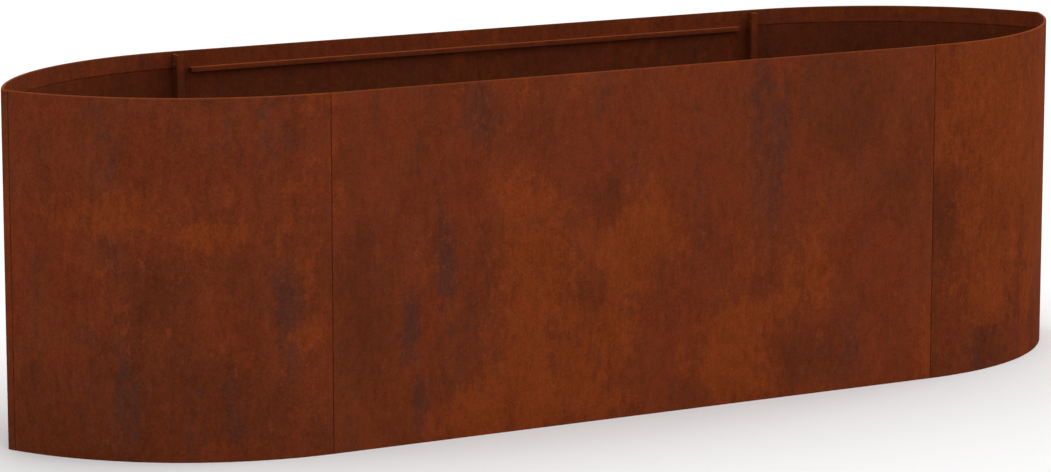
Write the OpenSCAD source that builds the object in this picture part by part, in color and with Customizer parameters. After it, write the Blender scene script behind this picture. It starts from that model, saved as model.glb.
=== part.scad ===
// Long planter of weathering steel sheet, bottomless, bolted together from six panels.
// The plan is a pointed oval: two straight sides, and two arcs at each end that meet in a tip.
// Origin: centre of the plan, on the ground. X runs along the planter, Z is up.

/* [Overall size] */
// Height of the planter
height = 800; // [400:10:1200]
// Width over the two straight sides
width = 800; // [500:10:1000]
// Length of each straight side
side_len = 1600; // [800:10:2400]
// Reach of each tip beyond the straight sides
tip_reach = 600; // [500:10:900]

/* [Sheet] */
// Thickness of the panel sheet
sheet_t = 3; // [2:0.5:5]
// Outer radius of the folded panel ends
fold_r = 1; // [0.5:0.1:1.5]

/* [Bolting flanges] */
// Depth of each flange, from the inside of the sheet to its free edge
flange_depth = 30; // [26:1:45]
// How far the flanges stop short of the top and bottom edges
flange_recess = 6; // [2:1:20]
// Width of the return lip along the free edge of a side panel's flange
lip_w = 12; // [10:1:16]
// Width of the tip angle's outer leg, measured along the sheet
tip_leg_w = 20; // [10:1:40]

/* [Stiffeners] */
// Distance from the top edge down to the rail
rail_drop = 39; // [20:1:80]
// Depth of the rail, from the sheet to its front
rail_depth = 15; // [12:1:45]
// Height of the rail's folded legs
rail_leg = 11; // [8:1:30]
// Gap between each end of the rail and the joint
rail_end_gap = 40; // [30:1:80]
// Height of the bands inside the curved panels
band_h = 39; // [25:1:80]
// Gap left for the weld between a band and its neighbours
weld_gap = 1; // [0.5:0.5:3]

/* [Joint bolts] */
// Number of bolts in each joint
bolts_per_joint = 5; // [2:1:9]
// Thread diameter of the joint bolts
bolt_d = 6; // [5:1:8]
// Extra diameter of the bolt holes
hole_play = 0.6; // [0.4:0.1:1]
// Distance from the top and bottom edges to the nearest bolt
bolt_edge = 32; // [20:1:60]

/* [Cross ties] */
// Distance between the two cross ties
tie_spacing = 540; // [200:10:600]
// Height of the ties above the ground
tie_z = 400; // [200:10:600]
// Diameter of the tie rods
tie_d = 12; // [8:1:16]
// Distance from the sheet to the back of the bracket's web
bracket_stand = 32; // [28:1:60]
// Width and height of a tie bracket
bracket_w = 70; // [60:1:100]
// Thickness of a tie bracket
bracket_t = 4; // [3:0.5:6]

/* [Hidden] */

FRONT = -1;
BACK = 1;
LEFT = -1;
RIGHT = 1;

// Arcs of the plan: each is tangent to a straight side and ends at the tip.
half_l = side_len / 2;
half_w = width / 2;
arc_out_r = (half_w * half_w + tip_reach * tip_reach) / (2 * half_w);
arc_in_r = arc_out_r - sheet_t;
arc_centre_y = half_w - arc_out_r;
tip_deg = asin(-arc_centre_y / arc_out_r);
tip_in_x = half_l + sqrt(arc_in_r * arc_in_r - arc_centre_y * arc_centre_y);
leg_deg = tip_deg + tip_leg_w / arc_out_r * 180 / PI;
side_in = half_w - sheet_t;
arc_fn = 240;
cut = 1;

// Flanges and their bolts
flange_h = height - 2 * flange_recess;
tip_flange_top = height - band_h - flange_recess;
bolt_in = flange_depth / 2;
bolt_r = bolt_d / 2;
hole_d = bolt_d + hole_play;
side_bolt_zs = spread(bolt_edge, height - bolt_edge);
tip_bolt_zs = spread(bolt_edge, tip_flange_top + flange_recess - bolt_edge);
head_h = 0.67 * bolt_d;
nut_h = 0.84 * bolt_d;
flats = 1.67 * bolt_d;
washer_t = 1.6;
washer_d = 2 * bolt_d;
shank_out = 2;
rust_dark = "saddlebrown";
rust = "sienna";

// Cross ties
web_y = side_in - bracket_stand;
tie_hole_d = tie_d + 2 * hole_play;
tie_washer_t = 2.5;
tie_washer_d = 2 * tie_d;
tie_nut_h = 0.83 * tie_d;
tie_flats = 1.58 * tie_d;
tie_end_y = web_y + tie_washer_t + tie_nut_h + shank_out;

// ---- helpers ----------------------------------------------------------------------------

// Heights of a joint's bolts, evenly spaced from the lowest to the highest
function spread(low, high) =
    [for (i = [0 : bolts_per_joint - 1]) low + (high - low) * i / (bolts_per_joint - 1)];

// Draws its children, made for the back right quarter, in one of the four quarters
module quarter(x_side, y_side) {
    mirror([x_side == LEFT ? 1 : 0, 0, 0])
        mirror([0, y_side == FRONT ? 1 : 0, 0])
            children();
}

// A strip rolled on the end arc's centre, between two radii and two angles
module rolled_strip(r_out, r_in, a_from, a_to, z_low, tall) {
    translate([half_l, arc_centre_y, z_low])
        rotate([0, 0, a_from])
            rotate_extrude(angle = a_to - a_from, $fn = arc_fn)
                translate([r_in, 0])
                    square([r_out - r_in, tall]);
}

// Centres of the bolt holes of one joint, with X as the direction through the flanges
module at_side_bolts() {
    for (z = side_bolt_zs)
        translate([half_l, side_in - bolt_in, z])
            rotate([0, 90, 0])
                children();
}

module at_tip_bolts() {
    for (z = tip_bolt_zs)
        translate([tip_in_x - bolt_in, 0, z])
            rotate([-90, 0, 0])
                children();
}

module bolt_hole(through) {
    cylinder(h = 2 * through, d = hole_d, center = true, $fn = 48);
}

module hexagon(across, tall) {
    cylinder(h = tall, d = across / cos(30), $fn = 6);
}

module ring(outer_d, inner_d, tall) {
    difference() {
        cylinder(h = tall, d = outer_d, $fn = 48);
        translate([0, 0, -cut])
            cylinder(h = tall + 2 * cut, d = inner_d, $fn = 48);
    }
}

// The bolt's axis is Z and the joint between the flanges is at Z = 0, head on top
module joint_bolt() {
    under_head = sheet_t + washer_t;
    shank_end = under_head + nut_h + shank_out;
    translate([0, 0, under_head])
        hexagon(flats, head_h);
    translate([0, 0, -shank_end])
        cylinder(h = shank_end + under_head, d = bolt_d, $fn = 48);
}

module joint_washers() {
    translate([0, 0, sheet_t])
        ring(washer_d, hole_d, washer_t);
    translate([0, 0, -sheet_t - washer_t])
        ring(washer_d, hole_d, washer_t);
}

module joint_nut() {
    translate([0, 0, -sheet_t - washer_t - nut_h])
        difference() {
            hexagon(flats, nut_h);
            translate([0, 0, -cut])
                cylinder(h = nut_h + 2 * cut, d = bolt_d, $fn = 48);
        }
}

// ---- sheet panels -----------------------------------------------------------------------

// Plan of a straight panel: a long flat web whose ends fold in to the flanges' lines
module side_plan() {
    translate([-half_l + fold_r, side_in])
        square([side_len - 2 * fold_r, sheet_t]);
    for (x_side = [LEFT, RIGHT])
        mirror([x_side == LEFT ? 1 : 0, 0])
            translate([half_l - fold_r, half_w - fold_r])
                intersection() {
                    circle(r = fold_r, $fn = 48);
                    square(fold_r + cut);
                }
    for (x_side = [LEFT, RIGHT])
        mirror([x_side == LEFT ? 1 : 0, 0])
            translate([half_l - fold_r, side_in])
                square([fold_r, sheet_t - fold_r]);
}

// The flange at one end of a straight panel, and the lip that stiffens its free edge
module folded_end() {
    translate([half_l - sheet_t, side_in - flange_depth, flange_recess])
        cube([sheet_t, flange_depth, flange_h]);
    translate([half_l - sheet_t - lip_w, side_in - flange_depth, flange_recess])
        cube([lip_w, sheet_t, flange_h]);
}

module side_panel(y_side) {
    quarter(RIGHT, y_side)
        difference() {
            union() {
                linear_extrude(height = height)
                    side_plan();
                for (x_side = [LEFT, RIGHT])
                    quarter(x_side, BACK)
                        folded_end();
            }
            for (x_side = [LEFT, RIGHT])
                quarter(x_side, BACK)
                    at_side_bolts()
                        bolt_hole(sheet_t + cut);
        }
}

module front_side_panel() {
    color(rust) side_panel(FRONT);
}

module back_side_panel() {
    color(rust) side_panel(BACK);
}

module curved_panel(x_side, y_side) {
    quarter(x_side, y_side)
        rolled_strip(arc_out_r, arc_in_r, leg_deg, 90, 0, height);
}

module front_left_curved_panel() {
    color(rust_dark) curved_panel(LEFT, FRONT);
}

module front_right_curved_panel() {
    color(rust_dark) curved_panel(RIGHT, FRONT);
}

module back_left_curved_panel() {
    color(rust_dark) curved_panel(LEFT, BACK);
}

module back_right_curved_panel() {
    color(rust_dark) curved_panel(RIGHT, BACK);
}

// ---- flanges of the curved panels -------------------------------------------------------

// One leg carries on the curved sheet to the tip, the other turns in along the joint and stops
// below the top bands
module tip_angle(x_side, y_side) {
    quarter(x_side, y_side)
        difference() {
            union() {
                difference() {
                    rolled_strip(arc_out_r, arc_in_r, tip_deg - 1, leg_deg, 0, height);
                    translate([0, -arc_out_r, -cut])
                        cube([half_l + arc_out_r, arc_out_r, height + 2 * cut]);
                }
                intersection() {
                    translate([tip_in_x - flange_depth, 0, flange_recess])
                        cube([flange_depth + sheet_t, sheet_t, tip_flange_top - flange_recess]);
                    translate([half_l, arc_centre_y, 0])
                        cylinder(h = height, r = arc_out_r, $fn = arc_fn);
                }
            }
            at_tip_bolts()
                bolt_hole(sheet_t + cut);
        }
}

module front_left_tip_angle() {
    color(rust) tip_angle(LEFT, FRONT);
}

module front_right_tip_angle() {
    color(rust) tip_angle(RIGHT, FRONT);
}

module back_left_tip_angle() {
    color(rust) tip_angle(LEFT, BACK);
}

module back_right_tip_angle() {
    color(rust) tip_angle(RIGHT, BACK);
}

// Flat bar welded inside the long-side end of a curved panel, shaped to the sheet
module joint_flange(x_side, y_side) {
    quarter(x_side, y_side)
        difference() {
            intersection() {
                translate([half_l, side_in - flange_depth, flange_recess])
                    cube([sheet_t, flange_depth + sheet_t, flange_h]);
                translate([half_l, arc_centre_y, 0])
                    cylinder(h = height, r = arc_in_r, $fn = arc_fn);
            }
            at_side_bolts()
                bolt_hole(sheet_t + cut);
        }
}

module front_left_joint_flange() {
    color(rust) joint_flange(LEFT, FRONT);
}

module front_right_joint_flange() {
    color(rust) joint_flange(RIGHT, FRONT);
}

module back_left_joint_flange() {
    color(rust) joint_flange(LEFT, BACK);
}

module back_right_joint_flange() {
    color(rust) joint_flange(RIGHT, BACK);
}

// ---- stiffeners -------------------------------------------------------------------------

// Band rolled to the inside of a curved panel, from the joint flange to y_end near the tip
module band(x_side, y_side, z_low, y_end) {
    band_out = arc_in_r;
    band_in = arc_in_r - sheet_t;
    quarter(x_side, y_side)
        intersection() {
            rolled_strip(band_out, band_in, tip_deg, 90, z_low, band_h);
            translate([half_l + sheet_t + weld_gap, y_end, z_low - cut])
                cube([tip_reach, half_w, band_h + 2 * cut]);
        }
}

// Runs over the tip flanges to meet the opposite band
module top_band(x_side, y_side) {
    band(x_side, y_side, height - band_h, weld_gap / 2);
}

// Stops at the tip flange. Lifted off the ground like the flanges, so water runs out under it
module base_band(x_side, y_side) {
    band(x_side, y_side, flange_recess, sheet_t + weld_gap);
}

module front_left_top_band() {
    color(rust) top_band(LEFT, FRONT);
}

module front_right_top_band() {
    color(rust) top_band(RIGHT, FRONT);
}

module back_left_top_band() {
    color(rust) top_band(LEFT, BACK);
}

module back_right_top_band() {
    color(rust) top_band(RIGHT, BACK);
}

module front_left_base_band() {
    color(rust) base_band(LEFT, FRONT);
}

module front_right_base_band() {
    color(rust) base_band(RIGHT, FRONT);
}

module back_left_base_band() {
    color(rust) base_band(LEFT, BACK);
}

module back_right_base_band() {
    color(rust) base_band(RIGHT, BACK);
}

// Folded channel along a straight panel, its open side down, one leg welded to the sheet
module rail(y_side, z_top) {
    rail_len = side_len - 2 * rail_end_gap;
    quarter(RIGHT, y_side)
        translate([-rail_len / 2, side_in - rail_depth, z_top - rail_leg])
            difference() {
                cube([rail_len, rail_depth, rail_leg]);
                translate([-cut, sheet_t, -cut])
                    cube([rail_len + 2 * cut, rail_depth - 2 * sheet_t, rail_leg - sheet_t + cut]);
            }
}

module front_top_rail() {
    color(rust) rail(FRONT, height - rail_drop);
}

module back_top_rail() {
    color(rust) rail(BACK, height - rail_drop);
}

module front_base_rail() {
    color(rust) rail(FRONT, rail_drop + rail_leg);
}

module back_base_rail() {
    color(rust) rail(BACK, rail_drop + rail_leg);
}

// ---- joint bolts ------------------------------------------------------------------------

module at_side_joints() {
    for (x_side = [LEFT, RIGHT])
        for (y_side = [FRONT, BACK])
            quarter(x_side, y_side)
                at_side_bolts()
                    children();
}

module at_tip_joints() {
    for (x_side = [LEFT, RIGHT])
        quarter(x_side, BACK)
            at_tip_bolts()
                children();
}

module side_joint_bolts() {
    color("dimgray") at_side_joints() joint_bolt();
}

module side_joint_washers() {
    color("gray") at_side_joints() joint_washers();
}

module side_joint_nuts() {
    color("dimgray") at_side_joints() joint_nut();
}

module tip_joint_bolts() {
    color("dimgray") at_tip_joints() joint_bolt();
}

module tip_joint_washers() {
    color("gray") at_tip_joints() joint_washers();
}

module tip_joint_nuts() {
    color("dimgray") at_tip_joints() joint_nut();
}

// ---- cross ties -------------------------------------------------------------------------

module tie_rod(x_side) {
    color("dimgray")
        translate([x_side * tie_spacing / 2, 0, tie_z])
            rotate([90, 0, 0])
                cylinder(h = 2 * tie_end_y, d = tie_d, center = true, $fn = 48);
}

module left_tie_rod() {
    tie_rod(LEFT);
}

module right_tie_rod() {
    tie_rod(RIGHT);
}

// Channel bracket: two legs stand on the sheet and hold the web that the rod passes through
module tie_bracket() {
    difference() {
        translate([-bracket_w / 2, web_y - bracket_t, -bracket_w / 2])
            cube([bracket_w, bracket_stand + bracket_t, bracket_w]);
        translate([-bracket_w / 2 + bracket_t, web_y, -bracket_w / 2 - cut])
            cube([bracket_w - 2 * bracket_t, bracket_stand + cut, bracket_w + 2 * cut]);
        translate([0, web_y, 0])
            rotate([90, 0, 0])
                cylinder(h = 4 * bracket_t, d = tie_hole_d, center = true, $fn = 48);
    }
}

module at_ties() {
    for (x_side = [LEFT, RIGHT])
        for (y_side = [FRONT, BACK])
            quarter(x_side, y_side)
                translate([tie_spacing / 2, 0, tie_z])
                    children();
}

// The two sides of the web: the outer nut holds the pull, the inner one locks it
module both_faces_of_web() {
    translate([0, web_y, 0])
        rotate([-90, 0, 0])
            children();
    translate([0, web_y - bracket_t, 0])
        rotate([90, 0, 0])
            children();
}

module tie_brackets() {
    color(rust) at_ties() tie_bracket();
}

module tie_washers() {
    color("gray")
        at_ties()
            both_faces_of_web()
                ring(tie_washer_d, tie_hole_d, tie_washer_t);
}

module tie_nuts() {
    color("dimgray")
        at_ties()
            both_faces_of_web()
                translate([0, 0, tie_washer_t])
                    difference() {
                        hexagon(tie_flats, tie_nut_h);
                        translate([0, 0, -cut])
                            cylinder(h = tie_nut_h + 2 * cut, d = tie_d, $fn = 48);
                    }
}

front_side_panel();
back_side_panel();
front_left_curved_panel();
front_right_curved_panel();
back_left_curved_panel();
back_right_curved_panel();
front_left_tip_angle();
front_right_tip_angle();
back_left_tip_angle();
back_right_tip_angle();
front_left_joint_flange();
front_right_joint_flange();
back_left_joint_flange();
back_right_joint_flange();
front_left_top_band();
front_right_top_band();
back_left_top_band();
back_right_top_band();
front_left_base_band();
front_right_base_band();
back_left_base_band();
back_right_base_band();
front_top_rail();
back_top_rail();
front_base_rail();
back_base_rail();
side_joint_bolts();
side_joint_washers();
side_joint_nuts();
tip_joint_bolts();
tip_joint_washers();
tip_joint_nuts();
left_tie_rod();
right_tie_rod();
tie_brackets();
tie_washers();
tie_nuts();
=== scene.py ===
# %% [markdown]
# # A weathering steel planter, dressed cell by cell
#
# The planter is a long ring of rusted sheet: two straight sides, and two rolled sheets at each end
# that meet in a tip. It has no floor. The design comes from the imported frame, in metres, and
# nothing here moves it. What is left to do is the part that makes steel look like steel: crisp folded
# edges, true curves, threads and welds, and a patina that rain has drawn down the sheets.

# %% Load the frame
import bpy
import bmesh
import math
import random
from mathutils import Matrix, Vector


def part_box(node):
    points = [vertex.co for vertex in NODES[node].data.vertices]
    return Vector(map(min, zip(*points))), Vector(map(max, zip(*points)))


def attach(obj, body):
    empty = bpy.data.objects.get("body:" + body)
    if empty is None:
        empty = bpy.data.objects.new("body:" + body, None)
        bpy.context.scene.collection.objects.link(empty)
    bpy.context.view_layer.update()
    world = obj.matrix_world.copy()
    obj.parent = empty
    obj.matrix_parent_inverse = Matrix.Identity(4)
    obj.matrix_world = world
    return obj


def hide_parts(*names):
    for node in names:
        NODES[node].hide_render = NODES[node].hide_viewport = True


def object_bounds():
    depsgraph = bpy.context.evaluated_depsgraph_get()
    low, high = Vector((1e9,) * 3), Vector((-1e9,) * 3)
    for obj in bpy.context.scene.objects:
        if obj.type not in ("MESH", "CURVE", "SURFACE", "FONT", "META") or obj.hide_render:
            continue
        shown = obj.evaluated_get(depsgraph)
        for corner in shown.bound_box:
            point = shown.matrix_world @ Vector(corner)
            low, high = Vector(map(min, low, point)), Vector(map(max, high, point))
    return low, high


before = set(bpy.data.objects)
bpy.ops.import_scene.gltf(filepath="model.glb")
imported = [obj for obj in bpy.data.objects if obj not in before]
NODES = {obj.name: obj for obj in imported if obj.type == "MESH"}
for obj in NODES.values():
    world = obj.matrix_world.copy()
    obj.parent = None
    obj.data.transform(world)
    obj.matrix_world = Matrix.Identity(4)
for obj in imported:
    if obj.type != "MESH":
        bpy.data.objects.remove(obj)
cad_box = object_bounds()
print("nodes:", len(NODES), "box:", [tuple(round(v, 3) for v in corner) for corner in cad_box])

# %% [markdown]
# ## The sizes that everything else uses
#
# A maker would read these off the drawing. Here they are read off the frame: a side panel gives the
# straight length, the width and the height, the whole box gives the reach of the tips, and a flange
# bar gives the thickness of the sheet. Each end arc is tangent to a side and ends at the tip. So its
# centre lies straight in from the end of that side, and the tip fixes its radius.

# %% Read the sizes off the frame
MM = 0.001
QUARTERS = [(end, side) for side in ("front", "back") for end in ("left", "right")]
SIGN = {"left": -1, "right": 1, "front": -1, "back": 1}

side_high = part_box("back_side_panel")[1]
bar_low, bar_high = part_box("back_right_joint_flange")
half_length = side_high.x
half_width = side_high.y
height = side_high.z
sheet = bar_high.x - bar_low.x
tip_reach = cad_box[1].x - half_length
arc_radius = (half_width ** 2 + tip_reach ** 2) / (2 * half_width)
arc_centre_y = half_width - arc_radius
tip_angle = math.asin(-arc_centre_y / arc_radius)
panel_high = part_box("back_right_curved_panel")[1]
leg_angle = math.acos((panel_high.x - half_length) / arc_radius)
edge_bar_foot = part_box("back_right_top_band")[0].z
print(f"sheet {sheet / MM:.1f} mm, arc radius {arc_radius / MM:.0f} mm, "
      f"tip at {math.degrees(tip_angle):.1f} degrees")

# %% [markdown]
# ## Camera, floor and light
#
# The camera stands to the front left with a long lens and looks down about ten degrees. A studio gets
# a soft look from bright walls and one large, weak lamp. Many small lamps would leave many small
# glints, and rust has none. So the room is an even white, a wide lamp stands off to the right, and a
# pale floor throws light back up the outside of the sheets. The inside gets little of that light.

# %% Camera
CAMERA_PLACE = Vector((-4.898, -8.320, 2.058))
CAMERA_TURN = math.radians(30.06)
CAMERA_DIP = math.radians(10.01)
CAMERA_LENS = 142.5
CAMERA_SENSOR = 36.0
CAMERA_SEES = 60.0


def make_camera():
    data = bpy.data.cameras.new("studio_camera")
    data.lens = CAMERA_LENS
    data.sensor_width = CAMERA_SENSOR
    data.clip_end = CAMERA_SEES
    camera = bpy.data.objects.new("studio_camera", data)
    camera.location = CAMERA_PLACE
    camera.rotation_euler = (math.pi / 2 - CAMERA_DIP, 0.0, -CAMERA_TURN)
    bpy.context.collection.objects.link(camera)
    bpy.context.scene.camera = camera


make_camera()
print(f"camera {CAMERA_PLACE.length:.1f} m from the middle, {CAMERA_LENS} mm lens")

# %% Floor
FLOOR_REACH = 40.0
FLOOR_COLOUR = (0.80, 0.80, 0.80, 1.0)
FLOOR_ROUGHNESS = 0.9


def make_floor():
    mesh = bpy.data.meshes.new("floor")
    corners = [(x * FLOOR_REACH, y * FLOOR_REACH, 0.0) for x, y in ((-1, -1), (1, -1), (1, 1), (-1, 1))]
    mesh.from_pydata(corners, [], [(0, 1, 2, 3)])
    floor = bpy.data.objects.new("floor", mesh)
    bpy.context.collection.objects.link(floor)
    material = bpy.data.materials.new("pale_floor")
    material.use_nodes = True
    shader = material.node_tree.nodes["Principled BSDF"]
    shader.inputs["Base Color"].default_value = FLOOR_COLOUR
    shader.inputs["Roughness"].default_value = FLOOR_ROUGHNESS
    mesh.materials.append(material)


make_floor()
print(f"floor {2 * FLOOR_REACH:.0f} m across")

# %% Room and lamp
ROOM_WHITE = (1.0, 1.0, 1.0, 1.0)
ROOM_STRENGTH = 1.12
LAMP_SIDE = (0.85, -0.16, 0.50)
LAMP_SPREAD = math.radians(60)
LAMP_STRENGTH = 1.25


def make_lamp(name, towards, spread, strength):
    data = bpy.data.lights.new(name, "SUN")
    data.angle = spread
    data.energy = strength
    lamp = bpy.data.objects.new(name, data)
    lamp.rotation_euler = Vector(towards).to_track_quat("Z", "Y").to_euler()
    bpy.context.collection.objects.link(lamp)


def make_room():
    world = bpy.data.worlds.new("studio_room")
    bpy.context.scene.world = world
    world.use_nodes = True
    background = world.node_tree.nodes["Background"]
    background.inputs["Color"].default_value = ROOM_WHITE
    background.inputs["Strength"].default_value = ROOM_STRENGTH
    bpy.context.scene.view_settings.view_transform = "Standard"


make_room()
make_lamp("key_lamp", LAMP_SIDE, LAMP_SPREAD, LAMP_STRENGTH)
print(f"an even room at {ROOM_STRENGTH} and one lamp at {LAMP_STRENGTH}")

# %% [markdown]
# ## Weathering steel
#
# The steel was put out in the rain and left. What grew is a dense skin of oxide, and it is never one
# colour. Five things can be told apart on it:
#
# - a ground that drifts between brown and red over a hand's breadth, with drier patches in it
# - cloudy orange blooms where the sheet stays wet longest, with ragged edges
# - dark stains, a little taller than they are wide
# - greyish traces of mill scale, drawn out downwards
# - a fine speckle of pits and grains
#
# A picture of rust would show the same patch on every panel, so the skin is grown from noise instead.

# %% Small helpers that wire the nodes
class Wiring:
    """Adds nodes to one material and joins them up."""

    def __init__(self, name):
        self.material = bpy.data.materials.new(name)
        self.material.use_nodes = True
        self.nodes = self.material.node_tree.nodes
        self.links = self.material.node_tree.links
        self.shader = self.nodes["Principled BSDF"]

    def put(self, socket, value):
        if isinstance(value, bpy.types.NodeSocket):
            self.links.new(value, socket)
        else:
            socket.default_value = value

    def place(self, offset=(0, 0, 0), stretch=(1, 1, 1)):
        """The point on the object in metres, shifted and then scaled."""
        source = self.nodes.new("ShaderNodeTexCoord")
        move = self.nodes.new("ShaderNodeMapping")
        move.vector_type = "POINT"
        move.inputs["Location"].default_value = offset
        move.inputs["Scale"].default_value = stretch
        self.links.new(source.outputs["Object"], move.inputs["Vector"])
        return move.outputs["Vector"]

    def noise(self, place, scale, detail=4.0, rough=0.55, warp=0.0):
        node = self.nodes.new("ShaderNodeTexNoise")
        self.put(node.inputs["Vector"], place)
        self.put(node.inputs["Scale"], scale)
        self.put(node.inputs["Detail"], detail)
        self.put(node.inputs["Roughness"], rough)
        self.put(node.inputs["Distortion"], warp)
        return node.outputs["Fac"]

    def ramp(self, value, low, high, low_out=0.0, high_out=1.0):
        """Stretches low to high onto low_out to high_out, with soft ends."""
        node = self.nodes.new("ShaderNodeMapRange")
        node.interpolation_type = "SMOOTHSTEP"
        self.put(node.inputs["Value"], value)
        self.put(node.inputs["From Min"], low)
        self.put(node.inputs["From Max"], high)
        self.put(node.inputs["To Min"], low_out)
        self.put(node.inputs["To Max"], high_out)
        return node.outputs["Result"]

    def maths(self, kind, first, second=0.0):
        """One step of arithmetic on two values, or on the first alone."""
        node = self.nodes.new("ShaderNodeMath")
        node.operation = kind
        self.put(node.inputs[0], first)
        self.put(node.inputs[1], second)
        return node.outputs["Value"]

    def spot(self):
        """The bare X, Y and Z of the point, in metres."""
        source = self.nodes.new("ShaderNodeTexCoord")
        split = self.nodes.new("ShaderNodeSeparateXYZ")
        self.links.new(source.outputs["Object"], split.inputs["Vector"])
        return split.outputs["X"], split.outputs["Y"], split.outputs["Z"]

    def facing_up(self):
        """How far the surface faces the sky."""
        source = self.nodes.new("ShaderNodeNewGeometry")
        split = self.nodes.new("ShaderNodeSeparateXYZ")
        self.links.new(source.outputs["True Normal"], split.inputs["Vector"])
        return split.outputs["Z"]

    def centred(self, value, strength):
        """Turns noise, which swings about one half, into a swing about nothing."""
        return self.maths("MULTIPLY", self.maths("SUBTRACT", value, 0.5), strength)

    def blend(self, amount, under, over, kind="MIX"):
        node = self.nodes.new("ShaderNodeMix")
        node.data_type = "RGBA"
        node.blend_type = kind
        self.put(node.inputs["Factor"], amount)
        self.put(node.inputs["A"], under)
        self.put(node.inputs["B"], over)
        return node.outputs["Result"]

    def grey(self, value):
        node = self.nodes.new("ShaderNodeCombineColor")
        for channel in ("Red", "Green", "Blue"):
            self.put(node.inputs[channel], value)
        return node.outputs["Color"]

    def bump(self, relief, strength, depth):
        node = self.nodes.new("ShaderNodeBump")
        node.inputs["Strength"].default_value = strength
        node.inputs["Distance"].default_value = depth
        self.put(node.inputs["Height"], relief)
        self.put(self.shader.inputs["Normal"], node.outputs["Normal"])


print("wiring helpers ready")

# %% [markdown]
# ### The colours of rust
#
# The colours are dark on purpose: a rust that looks right under a lamp is darker than it seems, and the
# orange only reads as orange beside the brown. Rust hardly shines, so its gloss is set close to none.

# %% Colours, from the darkest to the palest
# The darkest colour is painted shade, for the seams and for the inside below the edge bars.
SHADE_DARK = (0.0280, 0.0090, 0.0045, 1.0)
SCALE_GREY = (0.0680, 0.0205, 0.0125, 1.0)
DARK_BROWN = (0.0860, 0.0190, 0.0070, 1.0)
BASE_BROWN = (0.1110, 0.0232, 0.0080, 1.0)
RED_RUST = (0.1220, 0.0226, 0.0074, 1.0)
DRY_BROWN = (0.1240, 0.0264, 0.0092, 1.0)
ORANGE = (0.1540, 0.0288, 0.0072, 1.0)
# The palest colour is a painted highlight, for the top rim and for faces that look up.
HIGHLIGHT_RUST = (0.2300, 0.0560, 0.0170, 1.0)
RUST_SPECULAR = 0.005
print(f"rust runs from {SHADE_DARK[0]:.3f} to {HIGHLIGHT_RUST[0]:.3f} in red")

# %% [markdown]
# ### Areas with a chosen place
#
# Noise alone spreads its clouds evenly, but a planter stands in one spot and wets unevenly. So a few
# large areas have a chosen place. Each one is a soft ellipsoid that raises the noise inside it, or
# lowers it where the steel has stayed calm. The noise still cuts its rim, so the area never shows as
# a shape of its own.

# %% Soft areas inside a noise
AREA_OUTSIDE = -0.25
AREA_FULL = 0.75


def cloud_at(w, centre, reach):
    """How deep a point lies in a rounded area: 1 in the middle, 0 at its reach, negative outside."""
    x, y, z = centre
    rx, ry, rz = reach
    near = w.place((-x / rx, -y / ry, -z / rz), (1 / rx, 1 / ry, 1 / rz))
    length = w.nodes.new("ShaderNodeVectorMath")
    length.operation = "LENGTH"
    w.put(length.inputs[0], near)
    return w.maths("SUBTRACT", 1.0, length.outputs["Value"])


def with_areas(w, field, areas, weight):
    """Raises a noise field inside the chosen areas, before it is cut into a mask."""
    for centre, reach in areas:
        inside = w.ramp(cloud_at(w, centre, reach), AREA_OUTSIDE, AREA_FULL)
        field = w.maths("ADD", field, w.maths("MULTIPLY", inside, weight))
    return field


print("areas can be placed")

# %% [markdown]
# ### Painted shade in the seams and inside, painted highlight on the rims
#
# A thin line of painted shade runs down each seam on the outside. Inside, the steel below the edge bars
# gets painted shade too. The cut rim, and any face that looks up, gets a painted highlight of pale rust.
# All three follow from where a point lies and which way it faces, so they are worked out from that.
# Painting them would need a picture for each sheet.

# %% Which faces are outside, and how far off a seam is
def distance_to(w, value, place):
    """How far a coordinate is from a line on either half of the planter."""
    return w.maths("ABSOLUTE", w.maths("SUBTRACT", w.maths("ABSOLUTE", value), place))


def outer_face(w, x, y):
    """1 on the outside of the planter, 0 on every face inside it."""
    along = w.maths("MAXIMUM", w.maths("SUBTRACT", w.maths("ABSOLUTE", x), half_length), 0.0)
    across = w.maths("SUBTRACT", w.maths("ABSOLUTE", y), arc_centre_y)
    squares = w.maths("ADD", w.maths("MULTIPLY", along, along), w.maths("MULTIPLY", across, across))
    return w.maths("GREATER_THAN", w.maths("SQRT", squares), arc_radius - sheet / 2)


TIP_SEAM = half_length + arc_radius * math.cos(leg_angle)
print(f"seams at {half_length / MM:.0f} mm and {TIP_SEAM / MM:.0f} mm from the middle")

# %% Painted shade in the seams and inside, painted highlight on the rims
# Painted shade along each seam on the outside.
SEAM_CORE = 0.4 * MM
SEAM_REACH = 2.4 * MM
SEAM_FRAY = 1.2 * MM
SEAM_SHADE = 0.62
# Painted shade on the inside faces below the edge bars.
INSIDE_SHADE = 0.33
INSIDE_SHADE_FADE = 10 * MM
# Painted highlight on the top rim and on faces that look up.
RIM_START = 3.2 * MM
RIM_FULL = 1.2 * MM
RIM_HIGHLIGHT = 0.35
LOOKS_UP = (0.30, 0.80)


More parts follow.
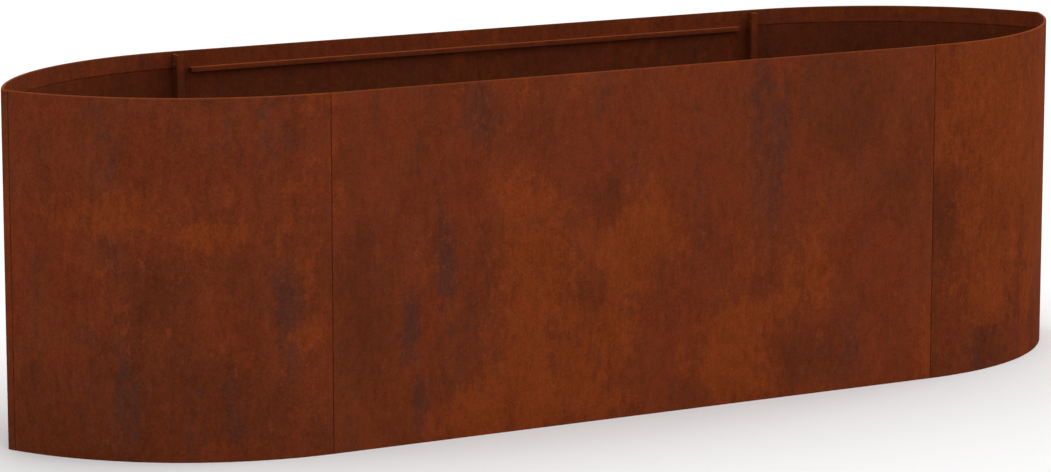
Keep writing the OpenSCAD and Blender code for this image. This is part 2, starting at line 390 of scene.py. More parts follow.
def edges_of_sheets(w, colour, fray, top_highlight):
    """Painted shade in the seams and low down inside, and a painted highlight on cut rims and on upward
    faces.
    """
    x, y, z = w.spot()
    outside = outer_face(w, x, y)
    beside_joint = distance_to(w, x, half_length)
    beside_tip = w.maths("DIVIDE", distance_to(w, x, TIP_SEAM), math.sin(leg_angle))
    nearest = w.maths("MINIMUM", beside_joint, beside_tip)
    seam = w.maths("ADD", nearest, w.maths("MULTIPLY", fray, SEAM_FRAY))
    # painted shade down each seam, on outside faces only
    seam_shade = w.maths("MULTIPLY", w.ramp(seam, SEAM_CORE, SEAM_REACH, SEAM_SHADE, 0.0), outside)
    colour = w.blend(seam_shade, colour, SHADE_DARK)
    # painted shade on inside faces below the edge bars
    below_bar = w.ramp(z, edge_bar_foot - INSIDE_SHADE_FADE, edge_bar_foot, INSIDE_SHADE, 0.0)
    inside_shade = w.maths("MULTIPLY", below_bar, w.maths("SUBTRACT", 1.0, outside))
    colour = w.blend(inside_shade, colour, SHADE_DARK)
    # painted highlight on the top rim and on faces that look up
    rim = w.ramp(z, height - RIM_START, height - RIM_FULL, 0.0, RIM_HIGHLIGHT)
    upward_highlight = w.ramp(w.facing_up(), *LOOKS_UP, 0.0, top_highlight)
    return w.blend(w.maths("MAXIMUM", rim, upward_highlight), colour, HIGHLIGHT_RUST)


print(f"seam lines reach {SEAM_REACH / MM:.1f} mm, damp starts at {edge_bar_foot / MM:.0f} mm")

# %% [markdown]
# ### How the skin is layered
#
# Each layer is a mask that lays one colour over the last. Every mask is cut with the same frayed noise,
# so no cloud has a smooth rim, and the layers look as if the same rain had made them. Noise is round by
# nature. Squeezing its place along Z draws it out upright: a little for clouds, a lot for runs.

# %% Ground, stains and blooms
ROUGH_RIM = (1.0, 1.0, 0.75)
UPRIGHT = (1.0, 1.0, 0.5)
DRY_PATCH = (1.0, 0.9, 0.4)
FALLING = (1.0, 1.0, 0.13)


def layered(w, under, over, mask, strength):
    """Lays one colour over another as far as the mask lets it through."""
    return w.blend(w.maths("MULTIPLY", mask, strength), under, over)


def ground(w, offset, edge, soft_edge):
    """Brown that drifts into red, with drier patches."""
    drift = w.noise(w.place(offset, UPRIGHT), scale=8.0, detail=5.0, rough=0.68, warp=0.2)
    colour = w.blend(w.ramp(w.maths("ADD", drift, soft_edge), 0.40, 0.60), BASE_BROWN, RED_RUST)
    dry = w.noise(w.place(offset, DRY_PATCH), scale=6.1, detail=5.0, rough=0.70, warp=0.3)
    return layered(w, colour, DRY_BROWN, w.ramp(w.maths("ADD", dry, edge), 0.50, 0.72), 0.60)


def stained(w, colour, offset, edge, soft_edge, dark, grey):
    """Dark stains, and greyish traces of mill scale drawn out downwards."""
    shade = w.noise(w.place(offset, UPRIGHT), scale=4.4, detail=5.0, rough=0.62, warp=0.5)
    shade = w.maths("ADD", with_areas(w, shade, dark, 0.20), soft_edge)
    colour = layered(w, colour, DARK_BROWN, w.ramp(shade, 0.50, 0.76), 0.85)
    trace = w.noise(w.place(offset, FALLING), scale=12.0, detail=4.0, rough=0.62, warp=0.1)
    trace = w.maths("ADD", with_areas(w, trace, grey, 0.30), edge)
    return layered(w, colour, SCALE_GREY, w.ramp(trace, 0.52, 0.92), 0.90)


def bloomed(w, colour, offset, edge, warm, plain, warmth):
    """Orange clouds, more of them in the warm areas and fewer in the plain ones."""
    cloud = w.noise(w.place(offset, UPRIGHT), scale=3.6, detail=4.0, rough=0.58, warp=0.4)
    cloud = with_areas(w, cloud, warm, 0.28)
    cloud = w.maths("ADD", with_areas(w, cloud, plain, -0.18), edge)
    return layered(w, colour, ORANGE, w.ramp(cloud, 0.56 - warmth, 0.76 - warmth), 0.82)


print("three layers over a ground colour")

# %% Grain, gloss and the whole skin
MOTTLED = (1.0, 1.0, 0.7)
PIT_DEPTH = 0.6 * MM


def speckled(w, colour, offset, mottle, sand, paleness):
    """Multiplies in the fine grain: pits and grains, fine runs, and a soft unevenness."""
    here = w.place(offset)
    grain = w.noise(here, scale=190.0, detail=1.0, rough=0.6)
    runs = w.noise(w.place(offset, FALLING), scale=110.0, detail=3.0, rough=0.6)
    uneven = w.noise(w.place(offset, UPRIGHT), scale=13.0, detail=3.0, rough=0.6)
    tone = paleness
    for field, strength in ((grain, 0.62), (mottle, 0.80), (runs, 0.25), (sand, 0.45), (uneven, 0.45)):
        tone = w.maths("ADD", tone, w.centred(field, strength))
    return w.blend(1.0, colour, w.grey(tone), "MULTIPLY")


def patina(name, offset, warm=(), dark=(), grey=(), calm=(), warmth=0.0,
           paleness=1.0, top_highlight=0.50):
    """One plate's skin: offset is its place in the noise, the last argument is how strong the painted
    highlight on upward faces is, and the rest is how it has weathered.
    """
    w = Wiring(name)
    here = w.place(offset)
    fray = w.noise(w.place(offset, ROUGH_RIM), scale=26.0, detail=5.0, rough=0.84)
    fray = w.centred(fray, 1.45)
    strand = w.noise(w.place(offset, FALLING), scale=60.0, detail=3.0, rough=0.65)
    edge = w.maths("ADD", fray, w.centred(strand, 0.30))
    soft_edge = w.maths("MULTIPLY", edge, 0.45)
    colour = ground(w, offset, edge, soft_edge)
    colour = stained(w, colour, offset, edge, soft_edge, dark, grey)
    colour = bloomed(w, colour, offset, edge, warm, dark + calm, warmth)

    mottle = w.noise(w.place(offset, MOTTLED), scale=50.0, detail=3.0, rough=0.80)
    sand = w.noise(here, scale=900.0, detail=2.0, rough=0.6)
    colour = speckled(w, colour, offset, mottle, sand, paleness)
    w.put(w.shader.inputs["Base Color"], edges_of_sheets(w, colour, fray, top_highlight))
    w.put(w.shader.inputs["Roughness"], w.ramp(mottle, 0.3, 0.7, 0.78, 0.96))
    w.shader.inputs["Specular IOR Level"].default_value = RUST_SPECULAR
    pits = w.noise(here, scale=420.0, detail=4.0, rough=0.7)
    relief = w.maths("ADD", w.maths("MULTIPLY", mottle, 0.5), w.maths("MULTIPLY", pits, 0.5))
    relief = w.maths("ADD", relief, w.maths("MULTIPLY", sand, 0.25))
    w.bump(relief, 0.50, PIT_DEPTH)
    return w.material


print("patina ready")

# %% [markdown]
# ### Where this planter has weathered
#
# The larger marks of the front are written down in metres: warm blooms, dark stains, grey traces, and
# calm stretches where no bloom belongs. The front side panel faces straight forward, so its areas
# only need X and Z. On the rolled sheets Y counts as well. The back is left to the noise alone.

# %% Marks on the front side panel
def on_front(*areas):
    """Areas from their X and Z and their reach along X and Z, right through the panel."""
    return tuple(((x, -half_width, z), (wide, 1.0, tall)) for x, z, wide, tall in areas)


FRONT_WARM = on_front(
    (-0.20, 0.13, 0.27, 0.22),
    (-0.28, 0.42, 0.12, 0.20),
    (-0.03, 0.42, 0.17, 0.12),
    (0.21, 0.10, 0.17, 0.14),
    (-0.50, 0.02, 0.17, 0.11),
)
FRONT_DARK = on_front(
    (-0.14, 0.29, 0.060, 0.055),
    (0.06, 0.22, 0.060, 0.055),
    (-0.10, 0.50, 0.070, 0.090),
    (0.47, 0.11, 0.170, 0.110),
    (0.33, 0.28, 0.060, 0.050),
    (0.50, 0.68, 0.230, 0.150),
    (-0.72, 0.30, 0.120, 0.250),
)
FRONT_GREY = on_front(
    (0.34, 0.66, 0.078, 0.260),
    (-0.44, 0.73, 0.080, 0.090),
    (-0.52, 0.42, 0.040, 0.160),
    (-0.61, 0.26, 0.030, 0.110),
    (-0.58, 0.08, 0.035, 0.080),
)
FRONT_CALM = on_front(
    (-0.70, 0.04, 0.17, 0.14),
    (-0.52, 0.20, 0.10, 0.16),
    (-0.50, 0.62, 0.14, 0.10),
    (-0.05, 0.68, 0.35, 0.12),
    (0.16, 0.52, 0.12, 0.12),
    (0.66, 0.32, 0.16, 0.34),
)
print(len(FRONT_WARM + FRONT_DARK + FRONT_GREY + FRONT_CALM), "marks on the front side panel")

# %% Marks on the two front rolled sheets: a middle, and the reach from it along X, Y and Z
LEFT_WARM = (
    ((-1.28, -0.20, 0.54), (0.15, 0.28, 0.055)),
    ((-1.05, -0.34, 0.50), (0.08, 0.16, 0.045)),
    ((-0.86, -0.39, 0.27), (0.05, 0.20, 0.05)),
)
LEFT_DARK = (
    ((-1.25, -0.20, 0.08), (0.60, 0.60, 0.22)),
    ((-1.16, -0.28, 0.38), (0.07, 0.15, 0.10)),
    ((-1.00, -0.36, 0.38), (0.06, 0.15, 0.10)),
)
LEFT_GREY = (
    ((-0.90, -0.39, 0.32), (0.050, 0.20, 0.170)),
    ((-1.22, -0.24, 0.12), (0.035, 0.10, 0.130)),
    ((-1.02, -0.36, 0.12), (0.035, 0.10, 0.130)),
)
LEFT_CALM = (
    ((-0.98, -0.37, 0.34), (0.10, 0.20, 0.12)),
    ((-1.10, -0.32, 0.70), (0.40, 0.40, 0.09)),
)
RIGHT_WARM = (
    ((1.02, -0.36, 0.66), (0.16, 0.20, 0.20)),
    ((1.20, -0.27, 0.42), (0.14, 0.20, 0.42)),
    ((1.03, -0.35, 0.42), (0.13, 0.20, 0.24)),
    ((1.00, -0.36, 0.20), (0.14, 0.20, 0.12)),
)
RIGHT_DARK = (
    ((0.83, -0.40, 0.38), (0.08, 0.20, 0.17)),
    ((0.98, -0.37, 0.05), (0.13, 0.20, 0.08)),
)
print(len(LEFT_WARM + LEFT_DARK + LEFT_GREY + LEFT_CALM), "marks on the left sheet,",
      len(RIGHT_WARM + RIGHT_DARK), "on the right")

# %% [markdown]
# ### One skin for each plate
#
# The panels were cut from different plates, so each gets its own place in the noise and none repeats
# another. The stiffening steel inside shares one skin, since it came from the same bars, and its upward
# faces get a stronger painted highlight.

# %% Make the skins
SKIN = {
    "front": patina("patina_front", (20.4, 0.0, 0.0),
                    FRONT_WARM, FRONT_DARK, FRONT_GREY, FRONT_CALM),
    "front_left": patina("patina_front_left", (1.3, 0.0, 0.0),
                         LEFT_WARM, LEFT_DARK, LEFT_GREY, LEFT_CALM),
    "front_right": patina("patina_front_right", (4.4, 2.2, 1.7),
                          RIGHT_WARM, RIGHT_DARK, warmth=0.09, paleness=0.88),
    "back": patina("patina_back", (26.1, 1.9, 0.0)),
    "back_left": patina("patina_back_left", (7.5, 4.4, 3.4)),
    "back_right": patina("patina_back_right", (10.6, 6.6, 5.1)),
}
# The inner steel gets a stronger painted highlight on its upward faces.
INNER_STEEL = patina("patina_inner", (40.0, 3.0, 5.0), paleness=1.02, top_highlight=0.90)
print("patinas:", ", ".join(sorted(SKIN)), "and inner steel")

# %% [markdown]
# ## Sheets with true curves and crisp edges
#
# The frame's meshes have flat facets, each two degrees of the arc. That is right for a drawing, but
# light shows every facet of a rolled sheet. So the rolled pieces are drawn again from the arc itself,
# one point for each degree, and shaded smooth. An outline on the plan is extruded upwards, which is
# also how the sheet is rolled: every level is the same curve. Laser-cut edges are never razor sharp,
# so each piece gets a small bevel, and that bevel catches a thin line of light along the top rim.

# %% Outlines on the plan
SEAM_ROUND = 1.0 * MM
ARC_STEP = math.radians(1.0)
# the middle of a round corner lies about 0.3 of its radius in from both sides
MID_CORNER = 0.3


def on_arc(radius, angle):
    return Vector((half_length + radius * math.cos(angle), arc_centre_y + radius * math.sin(angle)))


def arc_points(radius, start, end):
    steps = max(2, round(abs(end - start) / ARC_STEP))
    return [on_arc(radius, start + (end - start) * i / steps) for i in range(steps + 1)]


def strip_outline(outer, inner, start, end, rounding):
    """A rolled strip seen from above, its two outside corners rounded off."""
    turn = rounding / outer
    skin = arc_points(outer, start + turn, end - turn)
    eased = outer - rounding * MID_CORNER
    nose = [on_arc(eased, end - turn * MID_CORNER), on_arc(outer - rounding, end)]
    heel = [on_arc(outer - rounding, start), on_arc(eased, start + turn * MID_CORNER)]
    return skin + nose + arc_points(inner, end, start) + heel


def turned(points, end, side):
    """Moves an outline from the back right quarter of the plan to another quarter."""
    flipped = [Vector((p.x * SIGN[end], p.y * SIGN[side])) for p in points]
    return flipped if SIGN[end] * SIGN[side] > 0 else flipped[::-1]


print(f"one point every {ARC_STEP * arc_radius / MM:.0f} mm of arc")

# %% From an outline to a piece
EDGE_ROUND = 0.5 * MM
EDGE_STEPS = 2
SHARP_TURN = math.radians(40)


def extruded(outline, low, high):
    mesh = bmesh.new()
    rings = [[mesh.verts.new((p.x, p.y, z)) for p in outline] for z in (low, high)]
    count = len(outline)
    for i in range(count):
        j = (i + 1) % count
        mesh.faces.new((rings[0][i], rings[0][j], rings[1][j], rings[1][i]))
    mesh.faces.new(rings[0][::-1])
    mesh.faces.new(rings[1])
    return mesh


def as_piece(name, mesh, material, nodes=(), edge=EDGE_ROUND):
    """Turns mesh work into a piece that rides on the planter."""
    bmesh.ops.recalc_face_normals(mesh, faces=mesh.faces)
    for face in mesh.faces:
        face.smooth = True
    data = bpy.data.meshes.new(name)
    mesh.to_mesh(data)
    mesh.free()
    data.materials.append(material)
    piece = bpy.data.objects.new(name, data)
    bpy.context.collection.objects.link(piece)
    if edge:
        bevel = piece.modifiers.new("edge", "BEVEL")
        bevel.width = edge
        bevel.segments = EDGE_STEPS
        bevel.limit_method = "ANGLE"
        bevel.angle_limit = SHARP_TURN
        bevel.harden_normals = True
    data.set_sharp_from_angle(angle=SHARP_TURN)
    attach(piece, "root")
    if nodes:
        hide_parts(*nodes)


print(f"cut edges are rounded by {EDGE_ROUND / MM:.1f} mm")

# %% [markdown]
# ### The four rolled panels and their bands
#
# Each end is two sheets, rolled to the same radius and stopped 20 mm short of the tip, where an angle
# strip takes over. A flat bar is rolled to fit inside the top edge and another inside the foot. They
# double the edge, which keeps it from wavering, and they show as a step inside the rim.

# %% Roll the panels and bands
def roll_panel(end, side):
    node = f"{side}_{end}_curved_panel"
    outline = strip_outline(arc_radius, arc_radius - sheet, leg_angle, math.pi / 2, SEAM_ROUND)
    mesh = extruded(turned(outline, end, side), 0.0, height)
    as_piece(f"{side}_{end}_rolled_sheet", mesh, SKIN[side + "_" + end], (node,))


def roll_band(end, side, level):
    node = f"{side}_{end}_{level}_band"
    low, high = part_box(node)
    outer = arc_radius - sheet
    near_tip = min(abs(low.y), abs(high.y))
    near_joint = min(abs(low.x), abs(high.x))
    start = math.asin((near_tip - arc_centre_y) / outer)
    finish = math.acos((near_joint - half_length) / outer)
    outline = arc_points(outer, start, finish) + arc_points(outer - sheet, finish, start)
    mesh = extruded(turned(outline, end, side), low.z, high.z)
    as_piece(f"{side}_{end}_{level}_edge_bar", mesh, INNER_STEEL, (node,))


for end, side in QUARTERS:
    roll_panel(end, side)
    for level in ("top", "base"):
        roll_band(end, side, level)
print(f"rolled sheets end at {math.degrees(leg_angle):.2f} degrees, "
      f"angle strips at {math.degrees(tip_angle):.2f}")

# %% [markdown]
# ### Folded and flat pieces
#
# The side panels, flange bars, rails and brackets are plate, left flat or folded in a press, and an
# angle strip is so narrow that its curve hardly shows. So the frame's mesh already has their true
# shape, down to the bolt holes. What it lacks is the soft edge. Each one is copied, its flat facets are
# dissolved into whole faces, and a bevel runs round the edges that are left. The frame's own object is
# never touched: the copy stands for it.

# %% Copy the plates and soften their edges
SAME_POINT = 0.01 * MM
SAME_FACE = math.radians(0.5)


def copied_mesh(node):
    """A node's mesh in its place, with its facets joined point to point."""
    mesh = bmesh.new()
    mesh.from_mesh(NODES[node].data)
    mesh.transform(NODES[node].matrix_world)
    bmesh.ops.remove_doubles(mesh, verts=mesh.verts, dist=SAME_POINT)
    return mesh


def softened(node, material):
    mesh = copied_mesh(node)
    bmesh.ops.dissolve_limit(mesh, angle_limit=SAME_FACE, verts=mesh.verts, edges=mesh.edges)
    print(f"{node}: {len(mesh.faces)} faces")
    as_piece(node + "_plate", mesh, material, (node,))


for side in ("front", "back"):
    softened(side + "_side_panel", SKIN[side])
    for level in ("top", "base"):
        softened(f"{side}_{level}_rail", INNER_STEEL)
for end, side in QUARTERS:
    softened(f"{side}_{end}_tip_angle", SKIN[side + "_" + end])
    softened(f"{side}_{end}_joint_flange", INNER_STEEL)
softened("tie_brackets", INNER_STEEL)

# %% [markdown]
# ## Bolts, nuts and washers
#
# Thirty bolts hold the six panels together, each with two washers and a nut. A hexagon that comes off a
# bar machine is not a plain prism: its corners are turned back at thirty degrees, so the flats end in
# shallow arcs. That shape is worked out here as one radius and one height for each angle round the bolt.
# The thread is a real helix, because the last turns stand out of the nut where a hand will find them.
# Where each one sits is read off the loose solids of its node.

# %% Find the loose solids of a node
def loose_boxes(node):
    """The lowest and highest corner of each separate solid in a node."""
    mesh = copied_mesh(node)
    left = set(mesh.verts)
    boxes = []
    while left:
        group = []
        waiting = [left.pop()]
        while waiting:
            vert = waiting.pop()
            group.append(vert.co.copy())
            for edge in vert.link_edges:
                other = edge.other_vert(vert)
                if other in left:
                    left.remove(other)
                    waiting.append(other)
        low = Vector([min(p[k] for p in group) for k in range(3)])
        high = Vector([max(p[k] for p in group) for k in range(3)])
        boxes.append((low, high))
    mesh.free()
    return sorted(boxes, key=lambda box: tuple(round(v, 4) for v in box[0]))


print(len(loose_boxes("side_joint_bolts")), "bolts in the four long seams,",
      len(loose_boxes("tip_joint_bolts")), "in the two tips")

# %% [markdown]
# ### Rings, and what they close round
#
# A turned or punched part is round about its axis, so its mesh is a stack of rings with a skin between
# each two. A hexagon is the same stack with a radius that changes round the ring. A thread is the one
# thing that rings can't make: there a crest line and a root line wind up side by side.

# %% Rings and hexagons
AROUND = 24
CORNER_CUT = math.tan(math.radians(30))
CROWN = 0.95


def ring_of(mesh, place, radius, level, count=AROUND):
    """A ring of points; radius and level are numbers, or change with the angle."""
    verts = []
    for i in range(count):
        angle = 2 * math.pi * i / count
        r = radius(angle) if callable(radius) else radius
        z = level(angle) if callable(level) else level
        verts.append(mesh.verts.new(place @ Vector((r * math.cos(angle), r * math.sin(angle), z))))
    return verts


def bridge(mesh, first, second):
    count = len(first)
    for i in range(count):
        j = (i + 1) % count
        mesh.faces.new((first[i], first[j], second[j], second[i]))


def hexagon(mesh, place, flats, low, high):
    """The outside of a hexagon, its corners turned back at both ends; gives the two end rings."""
    crown = flats / 2 * CROWN

    def corner(angle):
        return flats / 2 / math.cos((angle % (math.pi / 3)) - math.pi / 6)

    def turned_back(angle):
        return (corner(angle) - crown) * CORNER_CUT

    top = ring_of(mesh, place, crown, high)
    shoulder = ring_of(mesh, place, corner, lambda angle: high - turned_back(angle))
    hip = ring_of(mesh, place, corner, lambda angle: low + turned_back(angle))
    bottom = ring_of(mesh, place, crown, low)
    for upper, lower in ((top, shoulder), (shoulder, hip), (hip, bottom)):
        bridge(mesh, upper, lower)
    return top, bottom


print(f"{AROUND} points round a nut")

# %% Holes and washers
RIM_NIP = 0.22


def pierced(mesh, place, top, bottom, bore, low, high):
    """Closes a body between its end rings with a round hole."""
    mouth_high = ring_of(mesh, place, bore, high)
    mouth_low = ring_of(mesh, place, bore, low)
    bridge(mesh, mouth_high, top)
    bridge(mesh, mouth_low, mouth_high)
    bridge(mesh, bottom, mouth_low)


def washer(mesh, place, radius, bore, thick):
    """A punched washer: its rim is rounded where the punch pulled it in."""
    half = thick / 2
    nip = thick * RIM_NIP
    rim = [(radius - nip, half), (radius, half - nip), (radius, nip - half), (radius - nip, -half)]
    rings = [ring_of(mesh, place, reach, level) for reach, level in rim]
    for upper, lower in zip(rings, rings[1:]):
        bridge(mesh, upper, lower)
    pierced(mesh, place, rings[0], rings[-1], bore, -half, half)


print(f"a washer's rim is nipped by {RIM_NIP} of its thickness")

# %% Threads
THREAD_AROUND = 16
THREAD_DEPTH = 0.55


def thread(mesh, place, radius, pitch, low, high):
    """A closed threaded stretch from low to high: a crest and a root wind up together."""
    turns = max(2, int((high - low) / pitch))
    pitch = (high - low) / (turns + 0.5)
    steps = turns * THREAD_AROUND

    def wind(reach, shift):
        verts = []
        for i in range(steps + 1):
            angle = 2 * math.pi * i / THREAD_AROUND
            z = low + (i / THREAD_AROUND + shift) * pitch
            spot = Vector((reach * math.cos(angle), reach * math.sin(angle), z))
            verts.append(mesh.verts.new(place @ spot))
        return verts

    crest = wind(radius, 0.0)
    root = wind(radius - THREAD_DEPTH * pitch, 0.5)
    for i in range(steps):
        mesh.faces.new((crest[i], crest[i + 1], root[i + 1], root[i]))
        j = i + THREAD_AROUND
        if j < steps:
            mesh.faces.new((root[i], root[i + 1], crest[j + 1], crest[j]))
    foot = crest[:THREAD_AROUND + 1] + [root[0]]
    head = root[-THREAD_AROUND - 1:] + [crest[-1]]
    for loop, level in ((foot, low), (head, high)):
        middle = mesh.verts.new(place @ Vector((0, 0, level)))
        for i in range(len(loop)):
            mesh.faces.new((loop[i], loop[(i + 1) % len(loop)], middle))


print(f"threads have {THREAD_AROUND} points a turn, cut {THREAD_DEPTH} of the pitch deep")

# %% [markdown]
# ### Hardware that has rusted along with the sheet
#
# Plain steel hardware in a weathering steel planter rusts darker than the plate and keeps a dull gleam
# on its worn faces. The finish mixes a dark oxide with orange bloom, and lets a little bare metal shine.

# %% The finish of the fasteners
DARK_OXIDE = (0.058, 0.017, 0.008, 1.0)
BOLT_BLOOM = (0.120, 0.027, 0.008, 1.0)
WORN_METAL = (0.150, 0.060, 0.030, 1.0)
WORN_SHARE = 0.4
HARDWARE_SPECULAR = 0.10
HARDWARE_PITS = 0.25 * MM


def rusted_hardware(name, offset):
    w = Wiring(name)
    here = w.place(offset)
    patch = w.noise(here, scale=140.0, detail=5.0, rough=0.70, warp=0.4)
    fine = w.noise(here, scale=700.0, detail=4.0, rough=0.70)
    colour = w.blend(w.ramp(patch, 0.40, 0.62), DARK_OXIDE, BOLT_BLOOM)
    worn = w.ramp(w.maths("ADD", patch, w.centred(fine, 0.8)), 0.60, 0.72)
    worn_share = w.maths("MULTIPLY", worn, WORN_SHARE)
    colour = w.blend(worn_share, colour, WORN_METAL)
    colour = w.blend(1.0, colour, w.grey(w.ramp(fine, 0.2, 0.8, 0.75, 1.25)), "MULTIPLY")
    w.put(w.shader.inputs["Base Color"], colour)
    w.put(w.shader.inputs["Metallic"], worn_share)
    w.put(w.shader.inputs["Roughness"], w.ramp(fine, 0.3, 0.7, 0.50, 0.80))
    w.shader.inputs["Specular IOR Level"].default_value = HARDWARE_SPECULAR
    relief = w.maths("ADD", w.maths("MULTIPLY", patch, 0.5), w.maths("MULTIPLY", fine, 0.5))
    w.bump(relief, 0.5, HARDWARE_PITS)
    return w.material


HARDWARE = rusted_hardware("rusted_hardware", (3.0, 1.0, 2.0))
print("hardware finish made")

# %% [markdown]
# ### Setting them in their places
#
# A joint bolt lies along X at the four long seams and along Y at the two tips. Its head is on the curved
# panel's side at a seam and on the back side at a tip, and its nut is on the other side. Lengths and
# widths are taken off the boxes of the frame's solids, so nothing is larger than the drawing allows.

# %% Read one fastener's measures
POINTS_TO = {
    "left": Matrix.Rotation(math.radians(-90), 4, "Y"),
    "right": Matrix.Rotation(math.radians(90), 4, "Y"),
    "back": Matrix.Rotation(math.radians(-90), 4, "X"),
}


def set_at(middle, kind):
    """Turns the working Z axis from nut to head, and moves it to a fastener's middle."""
    way = "back" if kind != "side" else ("right" if middle.x > 0 else "left")
    return Matrix.Translation(middle) @ POINTS_TO[way]


def measures(box, kind):
    """Length along the axis and width across it, from one solid's box."""
    size = box[1] - box[0]
    along = size.x if kind == "side" else size.y
    return along, max(size.z, size.y if kind == "side" else size.x)


def middle_of(box):
    return (box[0] + box[1]) / 2


nut_tall, nut_corners = measures(loose_boxes("side_joint_nuts")[0], "side")
print(f"a joint nut is {nut_tall / MM:.1f} mm tall and {nut_corners / MM:.1f} mm across corners")

# %% Nuts and washers
def make_nuts(node, name, kind, bore):
    boxes = loose_boxes(node)
    tall, corners = measures(boxes[0], kind)
    flats = corners * math.cos(math.pi / 6)
    mesh = bmesh.new()
    for box in boxes:
        place = set_at(middle_of(box), kind)
        top, bottom = hexagon(mesh, place, flats, -tall / 2, tall / 2)
        pierced(mesh, place, top, bottom, bore, -tall / 2, tall / 2)
    as_piece(name, mesh, HARDWARE, (node,), 0)
    print(f"{name}: {len(boxes)}, {flats / MM:.1f} mm across flats")
    return flats


def make_washers(node, name, kind, bore):
    boxes = loose_boxes(node)
    thick, wide = measures(boxes[0], kind)
    mesh = bmesh.new()
    for box in boxes:
        washer(mesh, set_at(middle_of(box), kind), wide / 2, bore, thick)
    as_piece(name, mesh, HARDWARE, (node,), 0)
    print(f"{name}: {len(boxes)}, {thick / MM:.1f} mm thick")
    return thick


# %% Bolts, with a head that sits on its washer
BOLT_RADIUS = 3.0 * MM
JOINT_PITCH = 1.0 * MM
THREAD_SINK = 0.5 * MM


def head_seat(middle, kind, under_head):
    """Where the underside of a head lies, from the bolt's middle towards the head."""
    if kind == "tip":
        return under_head - middle.y
    return half_length - abs(middle.x) + under_head


def make_bolts(node, name, kind, flats, under_head):
    boxes = loose_boxes(node)
    mesh = bmesh.new()
    for box in boxes:
        middle = middle_of(box)
        half = measures(box, kind)[0] / 2
        seat = head_seat(middle, kind, under_head)
        place = set_at(middle, kind)
        top, bottom = hexagon(mesh, place, flats, seat, half)
        mesh.faces.new(top)
        mesh.faces.new(bottom[::-1])
        thread(mesh, place, BOLT_RADIUS, JOINT_PITCH, -half, seat + THREAD_SINK)
    as_piece(name, mesh, HARDWARE, (node,), 0)
    print(f"{name}: {len(boxes)}, {2 * half / MM:.1f} mm long")


# %% Fill the seams
NUT_BORE = BOLT_RADIUS * 1.08
WASHER_BORE = BOLT_RADIUS * 1.1

for kind in ("side", "tip"):
    flats = make_nuts(kind + "_joint_nuts", kind + "_seam_nuts", kind, NUT_BORE)
    thick = make_washers(kind + "_joint_washers", kind + "_seam_washers", kind, WASHER_BORE)
    make_bolts(kind + "_joint_bolts", kind + "_seam_bolts", kind, flats, sheet + thick)

# %% [markdown]
# ## Cross ties
#
# Soil pushes the long sides apart, so two rods run from side to side at half height. A rod is only
# threaded where its nuts run, which leaves the middle smooth. Each end passes through a bracket with a
# nut and a washer on both faces: the outer nut takes the pull, the inner one locks it.

# %% Tie rods with threaded ends
THREADED_END = 70 * MM
SHOULDER_SLOPE = 2 * MM
TIE_PITCH = 1.75 * MM
rod_low, rod_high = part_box("left_tie_rod")
ROD_RADIUS = (rod_high.x - rod_low.x) / 2
ROD_CORE = ROD_RADIUS - 0.5 * TIE_PITCH


def make_tie_rod(node, name):
    low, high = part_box(node)
    place = set_at((low + high) / 2, "tie")
    half = (high.y - low.y) / 2
    mesh = bmesh.new()
    shoulder = half - THREADED_END
    levels = [
        (ROD_CORE, -shoulder - SHOULDER_SLOPE),
        (ROD_RADIUS, -shoulder),
        (ROD_RADIUS, shoulder),
        (ROD_CORE, shoulder + SHOULDER_SLOPE),
    ]
    rings = [ring_of(mesh, place, reach, level) for reach, level in levels]
    for lower, upper in zip(rings, rings[1:]):
        bridge(mesh, lower, upper)
    mesh.faces.new(rings[0][::-1])
    mesh.faces.new(rings[-1])
    thread(mesh, place, ROD_RADIUS, TIE_PITCH, -half, -shoulder + THREAD_SINK)
    thread(mesh, place, ROD_RADIUS, TIE_PITCH, shoulder - THREAD_SINK, half)
    as_piece(name, mesh, HARDWARE, (node,), 0)


for end in ("left", "right"):
    make_tie_rod(end + "_tie_rod", end + "_cross_tie")
print(f"ties: {(rod_high.y - rod_low.y) / MM:.0f} mm long, {2 * ROD_RADIUS / MM:.0f} mm thick")

# %% Nuts and washers on the ties
TIE_NUT_BORE = ROD_RADIUS * 1.05
TIE_WASHER_BORE = ROD_RADIUS * 1.08

make_nuts("tie_nuts", "cross_tie_nuts", "tie", TIE_NUT_BORE)
make_washers("tie_washers", "cross_tie_washers", "tie", TIE_WASHER_BORE)

# %% [markdown]
# ## Stitch welds
#
# Thin sheet warps if it is welded all along, so a welder sets short stitches and leaves gaps. The rails,
# the flange bars, the bands and the tie brackets are all held that way, from inside where nobody looks.
# A bead is a row of frozen ripples. Here it is a thin tube along the corner, swelling a little at each
# ripple and at random, half sunk into both plates. The random draws are seeded.

# %% One bead
BEAD_RADIUS = 1.5 * MM
BEAD_LENGTH = 24 * MM
BEAD_AROUND = 8
RIPPLE = 1.6 * MM
RIPPLE_CREST = 0.13
RIPPLE_DIP = -0.05
UNSTEADY_HAND = 0.07
BEAD_TIP = 0.45
BEAD_SWELLS = 0.30
draw = random.Random(41)


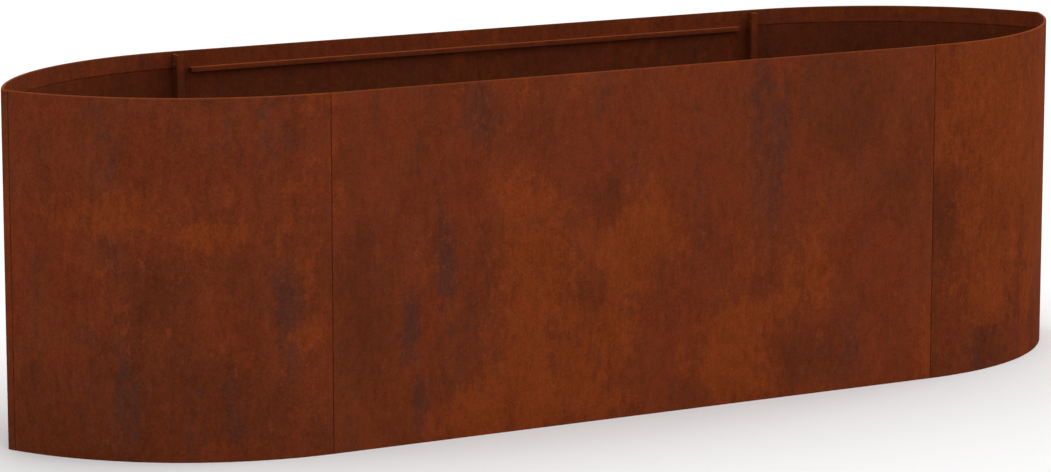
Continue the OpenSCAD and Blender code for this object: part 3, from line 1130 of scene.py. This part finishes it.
def bead(mesh, start, way):
    """A closed rippled tube from a point along a direction."""
    way = Vector(way).normalized()
    side = way.orthogonal().normalized()
    other = way.cross(side)
    steps = round(BEAD_LENGTH / RIPPLE * 2)
    rings = []
    for i in range(steps + 1):
        swell = 1.0 + (RIPPLE_CREST if i % 2 else RIPPLE_DIP)
        swell += draw.uniform(-UNSTEADY_HAND, UNSTEADY_HAND)
        reach = BEAD_RADIUS * swell * min(1.0, BEAD_TIP + BEAD_SWELLS * min(i, steps - i))
        middle = Vector(start) + way * (BEAD_LENGTH * i / steps)
        ring = []
        for k in range(BEAD_AROUND):
            angle = 2 * math.pi * k / BEAD_AROUND
            spot = middle + side * (reach * math.cos(angle)) + other * (reach * math.sin(angle))
            ring.append(mesh.verts.new(spot))
        rings.append(ring)
    for first, second in zip(rings, rings[1:]):
        bridge(mesh, first, second)
    mesh.faces.new(rings[0][::-1])
    mesh.faces.new(rings[-1])


WELD_STEEL = patina("patina_welds", (52.0, 8.0, 2.0), warmth=0.10)
print(f"a stitch is {BEAD_LENGTH / MM:.0f} mm long and {2 * BEAD_RADIUS / MM:.0f} mm thick")

# %% Stitches along the rails and the flange bars
RAIL_STITCHES = 8
BAR_STITCHES = 6
BAR_END_GAP = 70 * MM


def evenly(low, high, count):
    """The middles of equal shares of a length."""
    return [low + (high - low) * (i + 0.5) / count for i in range(count)]


def rail_welds():
    mesh = bmesh.new()
    for side in ("front", "back"):
        for level in ("top", "base"):
            low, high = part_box(f"{side}_{level}_rail")
            wall = SIGN[side] * (half_width - sheet)
            for x in evenly(low.x, high.x, RAIL_STITCHES):
                bead(mesh, (x - BEAD_LENGTH / 2, wall - SIGN[side] * sheet, low.z), (1, 0, 0))
    return mesh


def bar_welds():
    mesh = bmesh.new()
    for end, side in QUARTERS:
        low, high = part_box(f"{side}_{end}_joint_flange")
        x = max(abs(low.x), abs(high.x)) * SIGN[end]
        reach = math.sqrt((arc_radius - sheet) ** 2 - sheet ** 2) + arc_centre_y
        for z in evenly(low.z + BAR_END_GAP, high.z - BAR_END_GAP, BAR_STITCHES):
            bead(mesh, (x, reach * SIGN[side], z), (0, 0, 1))
    return mesh


print(f"{RAIL_STITCHES} stitches on a rail, {BAR_STITCHES} on a flange bar")

# %% Stitches along the bands and the tie brackets
BAND_STITCHES = 5
BAND_END_TURN = 0.05
BRACKET_END_GAP = 14 * MM


def band_welds():
    mesh = bmesh.new()
    radius = arc_radius - sheet
    for end, side in QUARTERS:
        for level, edge in (("top", 0), ("base", 1)):
            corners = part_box(f"{side}_{end}_{level}_band")
            z = corners[edge].z
            for angle in evenly(
                    tip_angle + BAND_END_TURN, math.pi / 2 - BAND_END_TURN, BAND_STITCHES):
                spot = on_arc(radius, angle)
                along = Vector((-math.sin(angle) * SIGN[end], math.cos(angle) * SIGN[side], 0))
                start = Vector((spot.x * SIGN[end], spot.y * SIGN[side], z)) - along * BEAD_LENGTH / 2
                bead(mesh, start, along)
    return mesh


def bracket_welds():
    mesh = bmesh.new()
    for low, high in loose_boxes("tie_brackets"):
        wall = high.y if high.y > 0 else low.y
        for x in (low.x, high.x):
            for z in (low.z + BRACKET_END_GAP, high.z - BRACKET_END_GAP - BEAD_LENGTH):
                bead(mesh, (x, wall, z), (0, 0, 1))
    return mesh


print(f"{BAND_STITCHES} stitches on a band, 4 on a tie bracket")

# %% Lay the welds, always in the same order
WELDS = {"rail": rail_welds, "flange_bar": bar_welds, "band": band_welds, "tie_bracket": bracket_welds}
for place, make in WELDS.items():
    as_piece(place + "_stitch_welds", make(), WELD_STEEL, (), 0)
print("stitch welds:", ", ".join(WELDS))
